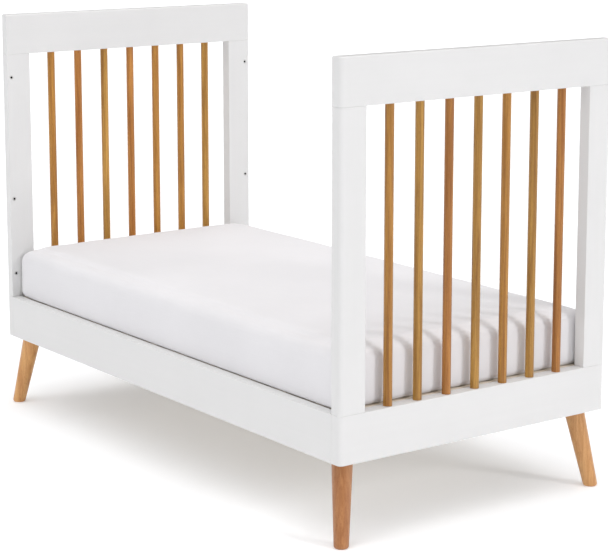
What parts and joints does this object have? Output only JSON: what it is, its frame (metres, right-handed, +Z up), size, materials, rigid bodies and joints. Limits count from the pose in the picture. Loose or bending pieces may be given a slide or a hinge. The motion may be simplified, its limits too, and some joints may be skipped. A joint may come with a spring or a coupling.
{
  "type": "mini cot bed",
  "caption": "Small white and beech cot bed in open toddler form: tall end panels with round bars, low side rails, slatted base, mattress with fitted sheet, splayed tapered legs.",
  "frame": {"origin": "on the floor under the middle of the bed", "axes": "+X from the head panel to the foot panel along the bed, +Y from the front side rail to the back side rail, +Z up"},
  "size_m": [1.262, 0.655, 0.893],
  "materials": {
    "white_paint": "satin",
    "beech": "satin",
    "base_wood": "matte",
    "zinc_steel": "satin",
    "mattress_cover": "matte",
    "sheet_cotton": "matte"
  },
  "bodies": {
    "bed_frame": {"foot_top_rail": "white_paint", "foot_bottom_rail": "white_paint", "foot_front_post": "white_paint", "foot_back_post": "white_paint", "foot_spindle_1": "beech", "foot_spindle_2": "beech", "foot_spindle_3": "beech", "foot_spindle_4": "beech", "foot_spindle_5": "beech", "foot_spindle_6": "beech", "foot_spindle_7": "beech", "head_top_rail": "white_paint", "head_bottom_rail": "white_paint", "head_front_post": "white_paint", "head_back_post": "white_paint", "head_spindle_1": "beech", "head_spindle_2": "beech", "head_spindle_3": "beech", "head_spindle_4": "beech", "head_spindle_5": "beech", "head_spindle_6": "beech", "head_spindle_7": "beech", "front_side_rail": "white_paint", "front_base_bearer": "base_wood", "back_side_rail": "white_paint", "back_base_bearer": "base_wood", "base_slat_01": "base_wood", "base_slat_02": "base_wood", "base_slat_03": "base_wood", "base_slat_04": "base_wood", "base_slat_05": "base_wood", "base_slat_06": "base_wood", "base_slat_07": "base_wood", "base_slat_08": "base_wood", "base_slat_09": "base_wood", "base_slat_10": "base_wood", "base_slat_11": "base_wood", "foot_front_leg": "beech", "foot_front_leg_plate": "zinc_steel", "foot_front_corner_block": "base_wood", "foot_back_leg": "beech", "foot_back_leg_plate": "zinc_steel", "foot_back_corner_block": "base_wood", "head_front_leg": "beech", "head_front_leg_plate": "zinc_steel", "head_front_corner_block": "base_wood", "head_back_leg": "beech", "head_back_leg_plate": "zinc_steel", "head_back_corner_block": "base_wood", "post_dowels": "base_wood", "side_fixing_inserts": "zinc_steel", "corner_bolt_inserts": "zinc_steel", "corner_bolts": "zinc_steel", "leg_hanger_bolts": "zinc_steel", "leg_plate_pan_screws": "zinc_steel", "leg_plate_screws": "zinc_steel", "bearer_screws": "zinc_steel", "slat_screws": "zinc_steel"},
    "mattress": {"mattress": "mattress_cover", "fitted_sheet": "sheet_cotton"}
  },
  "joints": [
    {"name": "mattress_lift", "type": "slide", "parent": "bed_frame", "child": "mattress", "axis": [0, 0, 1], "range_m": [0, 0.66]}
  ]
}
